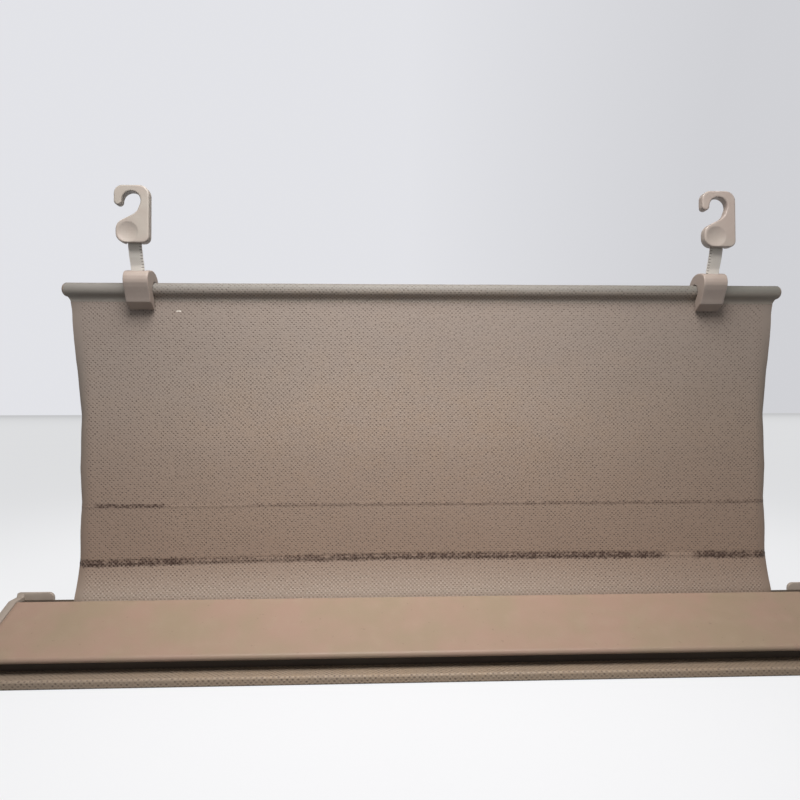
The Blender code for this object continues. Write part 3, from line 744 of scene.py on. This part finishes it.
def hook_outline():
    """A J open to the left: tip, top bar, shank and thumb lobe, from the hook's bottom centre."""
    tip = arc((-9.45, 29.2), 2.7, 180, 360, 13)
    mouth = arc((-0.3, 29.5), 6.5, 176, -30, 30)
    sweep = [(4.1, 22.8), (1.7, 20.5), (-3.5, 17.8), (-8.0, 15.5), (-10.1, 13.0), (-10.8, 10.1)]
    lower_left = arc((-4.0, 6.8), 6.8, 180, 270, 12)
    lower_right = arc((7.75, 4.4), 4.4, 270, 360, 10)
    upper_right = arc((5.05, 33.4), 7.1, 0, 90, 12)
    upper_left = arc((-6.35, 34.7), 5.8, 90, 180, 12)
    outline = [*lower_left, *lower_right, *upper_right, *upper_left, *tip, *mouth, *sweep]
    outline = resampled(np.array(outline) * 1.02, 0.5)
    for _ in range(3):
        outline = 0.25 * np.roll(outline, 1, axis=0) + 0.5 * outline + 0.25 * np.roll(outline, -1, axis=0)
    return outline


def build_hook(side, label):
    low, high = node_box(f"hook_{label}")
    clip_low, clip_high = node_box(f"clip_{label}")
    pin_low, pin_high = node_box(f"hook_pin_{label}")
    pin = (pin_low + pin_high) / 2
    middle, bottom = (low[0] + high[0]) / 2, low[2]
    front, back = low[1], high[1]
    outline = hook_outline()
    levels = []
    for radius, start, direction in ((1.0, front, 1), (1.6, back, -1)):
        turns = np.linspace(0.12, math.pi / 2, 7)[::direction]
        levels += [
            (start + direction * radius * (1 - math.cos(a)), radius * (1 - math.sin(a))) for a in turns
        ]
    rings = []
    for y, inset in levels:
        rings.append([(middle + x, y, bottom + z) for x, z in offset(outline, inset)])
    hook = loft(f"hook_{label}_body", rings)
    clip_x = (clip_low[0] + clip_high[0]) / 2
    channel = block(
        "channel", (clip_x - 5.6, pin[1] - 2.2, bottom - 2), (clip_x + 5.6, back + 2, pin[2] + 2.6)
    )
    dish_radius, dish_depth = 7.4, 1.25
    reach = (dish_radius**2 + dish_depth**2) / (2 * dish_depth)
    dish = ball("dish", (middle - 2.3, front + dish_depth - reach, bottom + 7.8), reach)
    cut(hook, [channel, dish])
    moulded(hook, 0.30, 3)
    hook.data.materials.append(HOOK_PLASTIC)
    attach(hook, f"hook_{label}")
    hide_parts(f"hook_{label}")


# ---------------------------------------------------------------- cassette


def cover_section():
    """From the lip in the slot, over the flat slope, round the rolled front edge."""
    slope, radius, far = math.radians(25.0), 1.25, -50.3
    start = (-4.2, SLOT_Z - 1.1)
    end = (far, start[1] + (far - start[0]) * math.tan(slope))
    centre = (end[0] + radius * math.sin(slope), end[1] - radius * math.cos(slope))
    roll = arc(centre, radius, 90 + math.degrees(slope), 262, 18)
    lip = [(-2.3, 34.7), (-2.3, 36.4), (-2.36, 37.2), (-2.6, 37.9), (-3.2, 38.5), start]
    flat = [tuple(np.array(start) + (np.array(end) - start) * t) for t in np.linspace(0.04, 1, 26)]
    path = np.array(lip + flat + roll[1:])
    return path


def build_cover():
    thick = 2.18
    outline = strip(cover_section(), thick)
    middle = np.linspace(-CASE_HALF + 3, CASE_HALF - 3, 121)
    xs = np.concatenate([[-CASE_HALF, -CASE_HALF + 0.4], middle, [CASE_HALF - 0.4, CASE_HALF]])
    rings = []
    for x in xs:
        section = outline.copy()
        sag = np.array(
            [0.16 * ripple(x, y * 2, 90, 6.6) + 0.05 * ripple(x, y * 2, 24, 1.2) for y in section[:, 0]]
        )
        inside = np.clip((-section[:, 0] - 5) / 6, 0, 1) * np.clip((section[:, 0] + 50.4) / 5, 0, 1)
        section[:, 1] -= np.abs(sag) * inside
        if abs(x) == CASE_HALF:
            section = offset_any(section, 0.35)
        rings.append(np.column_stack([np.full(len(section), x), from_sheet(section)]))
    cover = loft("cover_shell", rings, smooth_degrees=50)
    cover.data.materials.append(COVER_PLASTIC)
    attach(cover, "cassette")
    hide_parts("cover_panel")


def offset_any(outline, distance):
    """Insets an outline whichever way round it runs."""
    x, y = outline[:, 0], outline[:, 1]
    area = (x * np.roll(y, -1) - np.roll(x, -1) * y).sum()
    return offset(outline, distance if area > 0 else -distance)


def build_trim():
    """The strip of vinyl laid over the base's front flange."""
    flat_top = [(-41.35, 5.5), (-48.0, 5.52), (-56.0, 5.5)]
    front = [*arc((-56.35, 4.4), 1.07, 88, 176, 8), (-57.42, 3.0), (-57.42, 0.85)]
    path = resampled(flat_top + front, 0.8, closed=False)
    outline = strip(path, 0.88)
    xs = np.linspace(-CASE_HALF, CASE_HALF, 161)
    lengths = np.concatenate([[0], np.cumsum(np.linalg.norm(np.diff(path, axis=0), axis=1))])
    travel = np.concatenate([lengths, lengths[::-1]])
    rings, flat = [], []
    for x in xs:
        section = outline.copy()
        lift = np.array([0.1 * ripple(x, y * 3, 45, 3.9) for y in section[:, 0]])
        section[:, 1] -= np.abs(lift) * np.clip((-section[:, 0] - 42) / 3, 0, 1) * (section[:, 1] > 4.9)
        rings.append(np.column_stack([np.full(len(section), x), from_sheet(section)]))
        across = np.full(len(section), x * MM * 0.85)
        flat.append(np.column_stack([across, travel * MM, np.zeros(len(section))]))
    trim = loft("trim_shell", rings, smooth_degrees=50, attributes={"flat": np.concatenate(flat)})
    trim.data.materials.append(TRIM_VINYL)
    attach(trim, "cassette")
    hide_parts("base_trim_strip")


COVER_AHEAD = 5.0  # how far the cover's edge reaches past the CAD cover's, down its slope


def softened(node, name, material, width, body):
    """A copy of an end cap's shape, drawn out to the cover's edge, with its own edges eased."""
    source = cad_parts[node]
    made = bpy.data.objects.new(name, source.data.copy())
    bpy.context.scene.collection.objects.link(made)
    bm = bmesh.new()
    bm.from_mesh(made.data)
    for vert in bm.verts:
        y, z = vert.co.y / MM - FABRIC_Y, vert.co.z / MM
        if y < -38.5 and z > 6.9:
            vert.co.y -= COVER_AHEAD * MM
            vert.co.z -= COVER_AHEAD * math.tan(math.radians(25.0)) * MM * (z > 9)
    bmesh.ops.remove_doubles(bm, verts=bm.verts, dist=1e-6)
    bmesh.ops.dissolve_limit(bm, angle_limit=math.radians(1), verts=bm.verts, edges=bm.edges)
    bmesh.ops.recalc_face_normals(bm, faces=bm.faces)
    bm.to_mesh(made.data)
    bm.free()
    ease = made.modifiers.new("ease", "BEVEL")
    ease.width = width * MM
    ease.segments = 3
    ease.limit_method = "ANGLE"
    ease.angle_limit = math.radians(40)
    baked(made)
    made.data.shade_smooth()
    made.data.set_sharp_from_angle(angle=math.radians(35))
    made.data.materials.clear()
    made.data.materials.append(material)
    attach(made, body)
    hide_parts(node)


def build_screw(label, place):
    """A pan head with a cross recess, in its counterbore."""
    node = f"cap_screw_{label}_{place}"
    low, high = node_box(node)
    side = 1 if high[0] > 0 else -1
    centre = (low[1:] + high[1:]) / 2
    outer = max(abs(low[0]), abs(high[0]))
    profile = [(286.0, 0.5), (287.6, 1.25), (304.15, 1.28), (304.2, 2.6), (304.35, 2.7)]
    profile += [(304.7, 2.62), (305.1, 2.35), (305.4, 1.8), (outer, 0.8)]
    rings = []
    for x, radius in profile:
        turn = np.linspace(0, 2 * math.pi, 40, endpoint=False)
        flat = np.column_stack([centre[0] + radius * np.cos(turn), centre[1] + radius * np.sin(turn)])
        rings.append(np.column_stack([np.full(40, side * x), flat]))
    screw = loft(f"{node}_head", rings)
    tools = []
    for wide, tall in ((1.5, 0.28), (0.28, 1.5)):
        ends = sorted((side * 304.6, side * 307))
        low_corner = (ends[0], centre[0] - wide, centre[1] - tall)
        tools.append(block("recess", low_corner, (ends[1], centre[0] + wide, centre[1] + tall)))
    cut(screw, tools)
    screw.data.materials.append(STEEL)
    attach(screw, "cassette")
    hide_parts(node)


def build_rod_end(side, label):
    """A rounded plug that closes the rod flush with the cloth round it."""
    profile = [(255.2, 3.2), (256.0, 3.7), (264.8, 3.7), (264.9, 4.5), (267.2, 4.55)]
    profile += [(267.4 + 3.4 * math.sin(a), 5.12 * math.cos(a) ** 0.85) for a in np.linspace(0.1, 1.47, 14)]
    rings = []
    for x, radius in profile:
        turn = np.linspace(0, 2 * math.pi, 48, endpoint=False)
        section = from_rod(np.column_stack([radius * np.cos(turn), radius * np.sin(turn)]))
        rings.append(np.column_stack([np.full(48, side * min(x, ROD_END)), section]))
    plug = loft(f"rod_end_{label}", rings, smooth_degrees=50)
    plug.data.materials.append(ROD_PLASTIC)
    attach(plug, "pull_bar")
    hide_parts(f"rod_end_plug_{label}")


# ---------------------------------------------------------------- stage


WORLD_LIGHT = 0.08, 0.45  # what the surroundings give from behind below and from in front above
LAMPS = [
    ("key", (-0.04, -0.32, 0.75), (-0.03, 0.02, 0.26), 0.36, 2.55, (1.0, 0.985, 0.965), 100),
    ("fill_behind", (0.0, 1.3, 0.62), (0.0, 0.02, 0.12), 0.8, 3.4, (1.0, 0.99, 0.98), 80),
]


def build_stage():
    scene = bpy.context.scene
    mesh = bpy.data.meshes.new("floor")
    reach = 40.0
    corners = [(-reach, -reach, 0), (reach, -reach, 0), (reach, reach, 0), (-reach, reach, 0)]
    mesh.from_pydata(corners, [], [(0, 1, 2, 3)])
    floor = bpy.data.objects.new("floor", mesh)
    scene.collection.objects.link(floor)
    s = Surface("floor_pale", specular=0.1, roughness=0.8)
    s.shader.inputs["Emission Color"].default_value = (*shade(252, 253, 255), 1.0)
    away = s.split(s.place())[1]
    s.feed(s.shader.inputs["Emission Strength"], s.step(away, 5.0, 30.0, 0.67, 0.50))
    cloudy = s.noise(s.place(), 2.0, 2.0)
    floor.data.materials.append(s.finish(s.mix(cloudy, shade(128, 128, 130), shade(133, 133, 134))))
    floor.visible_diffuse = False

    # The backdrop is pale; the light it gives comes mostly from above, as in a lit room.
    world = bpy.data.worlds.new("studio")
    world.use_nodes = True
    tree = world.node_tree
    heading = tree.nodes.new("ShaderNodeTexCoord").outputs["Generated"]

    def graded(direction, *levels):
        """A level that follows how far a ray points along a direction."""
        along = tree.nodes.new("ShaderNodeVectorMath")
        along.operation = "DOT_PRODUCT"
        along.inputs[1].default_value = direction
        tree.links.new(heading, along.inputs[0])
        level = tree.nodes.new("ShaderNodeMapRange")
        for socket, value in zip(("From Min", "From Max", "To Min", "To Max"), levels):
            level.inputs[socket].default_value = value
        tree.links.new(along.outputs["Value"], level.inputs["Value"])
        return level.outputs["Result"]

    lit, seen = tree.nodes["Background"], tree.nodes.new("ShaderNodeBackground")
    lit.inputs["Color"].default_value = (1.0, 0.99, 0.98, 1.0)
    tree.links.new(graded((0.0, -0.70, 0.71), -0.2, 1.0, *WORLD_LIGHT), lit.inputs["Strength"])
    across = graded((1.0, 0.0, 0.0), 0.05, 0.45, 0.79, 0.655)
    tree.links.new(across, seen.inputs["Strength"])
    seen.inputs["Color"].default_value = (0.968, 0.975, 1.02, 1.0)
    ray = tree.nodes.new("ShaderNodeLightPath")
    either = tree.nodes.new("ShaderNodeMixShader")
    tree.links.new(ray.outputs["Is Camera Ray"], either.inputs[0])
    tree.links.new(lit.outputs[0], either.inputs[1])
    tree.links.new(seen.outputs[0], either.inputs[2])
    tree.links.new(either.outputs[0], tree.nodes["World Output"].inputs["Surface"])
    scene.world = world

    for name, place, aim, size, power, colour, spread in LAMPS:
        data = bpy.data.lights.new(name, "AREA")
        data.energy = power
        data.size = size
        data.color = colour
        data.spread = math.radians(spread)
        lamp = bpy.data.objects.new(name, data)
        lamp.location = place
        lamp.visible_camera = False
        lamp.visible_glossy = name == "key"
        lamp.rotation_mode = "QUATERNION"
        lamp.rotation_quaternion = (Vector(aim) - Vector(place)).to_track_quat("-Z", "Y")
        scene.collection.objects.link(lamp)

    yaw, pitch, roll = math.radians(2.12), math.radians(1.06), math.radians(-0.15)
    forward = Vector((math.sin(yaw) * math.cos(pitch), math.cos(yaw) * math.cos(pitch), math.sin(pitch)))
    right = Vector((math.cos(yaw), -math.sin(yaw), 0.0))
    up = right.cross(forward)
    right, up = (
        math.cos(roll) * right + math.sin(roll) * up,
        math.cos(roll) * up - math.sin(roll) * right,
    )
    data = bpy.data.cameras.new("camera")
    data.sensor_width = 36.0
    data.lens = 36.0 * 620 / 800
    data.clip_start, data.clip_end = 0.01, 100
    camera = bpy.data.objects.new("camera", data)
    turn = Matrix((right, up, -forward)).transposed().to_4x4()
    place = (-0.0392, FABRIC_Y * MM - 0.4649, 0.1774)
    camera.matrix_world = Matrix.Translation(place) @ turn
    scene.collection.objects.link(camera)
    scene.camera = camera
    scene.view_settings.view_transform = "Standard"
    scene.view_settings.look = "None"


# ---------------------------------------------------------------- everything together

build_stage()
CLIP_PLASTIC = plastic("clip_plastic", (164, 150, 141), (160, 145, 136), 0.42)
ROD_PLASTIC = plastic("rod_end_plastic", (146, 131, 120), (142, 126, 114), 0.5)
HOOK_PLASTIC = plastic("hook_plastic", (168, 160, 151), (170, 155, 147), 0.4)
COVER_PLASTIC = plastic("cover_beige", (147, 129, 109), (154, 128, 113), 0.5, speck=0.3, sheen=0.4)
CAP_PLASTIC = plastic("cap_plastic", (160, 148, 136), (154, 142, 132), 0.5)
CASE_PLASTIC = plastic("case_plastic", (74, 62, 50), (64, 52, 42), 0.6)
NYLON = plastic("nylon", (225, 221, 208), (216, 210, 196), 0.45)
STEEL = metal("steel", (190, 190, 192), 0.34, (0.2, 1.0, 1.0))
ALUMINIUM = metal("aluminium", (205, 206, 208), 0.36, (0.05, 1.0, 1.0))
WEBBING = webbing_material()
THREAD = thread_material()
SHEET_VINYL = vinyl("perforated_vinyl", creased=True)
HEM_VINYL = vinyl(
    "perforated_vinyl_hem", base=(145, 134, 124), dark=(95, 84, 76), margin=0.2255, shaded_rod_top=True
)
ROLLED_VINYL = vinyl("perforated_vinyl_rolled", coordinates="place")
TRIM_VINYL = vinyl("trim_vinyl", base=(142, 125, 108))

KEPT = {
    "housing_base": (CASE_PLASTIC, "case_plastic"),
    "spindle": (STEEL, "steel"),
    "spindle_collar": (NYLON, "nylon"),
    "torsion_spring": (STEEL, "steel"),
    "idler_pin": (STEEL, "steel"),
    "thrust_washer_left": (NYLON, "nylon"),
    "thrust_washer_right": (NYLON, "nylon"),
    "roller_tube": (ALUMINIUM, "aluminium"),
    "roller_plug_left": (NYLON, "nylon"),
    "roller_plug_right": (NYLON, "nylon"),
    "fabric_roll": (ROLLED_VINYL, "perforated_vinyl"),
    "fabric_spline": (NYLON, "nylon"),
    "pull_rod": (ALUMINIUM, "aluminium"),
    "clip_pin_left": (STEEL, "steel"),
    "clip_pin_right": (STEEL, "steel"),
    "hook_pin_left": (STEEL, "steel"),
    "hook_pin_right": (STEEL, "steel"),
}
for node, (material, slot) in KEPT.items():
    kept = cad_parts[node]
    kept.data.materials.clear()
    kept.data.materials.append(material)

build_cover()
build_trim()
for side, label in ((-1, "left"), (1, "right")):
    softened(f"end_cap_{label}", f"end_cap_{label}_body", CAP_PLASTIC, 0.5, "cassette")
    for place in ("front", "rear"):
        build_screw(label, place)
    build_rod_end(side, label)
    build_clip(side, label)
    build_strap(side, label)
    build_hook(side, label)

sheet = build_panel()
sheet.data.materials.append(SHEET_VINYL)
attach(sheet, "cassette")
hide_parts("blind_panel")
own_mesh(sheet)

hem = build_hem()
hem_length = np.linalg.norm(np.diff(hem_path(), axis=0), axis=1).sum()
hem.data.materials.append(HEM_VINYL)
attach(hem, "pull_bar")
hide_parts("hem_sleeve")
stitches = build_stitches()
stitches.data.materials.append(THREAD)
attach(stitches, "pull_bar")
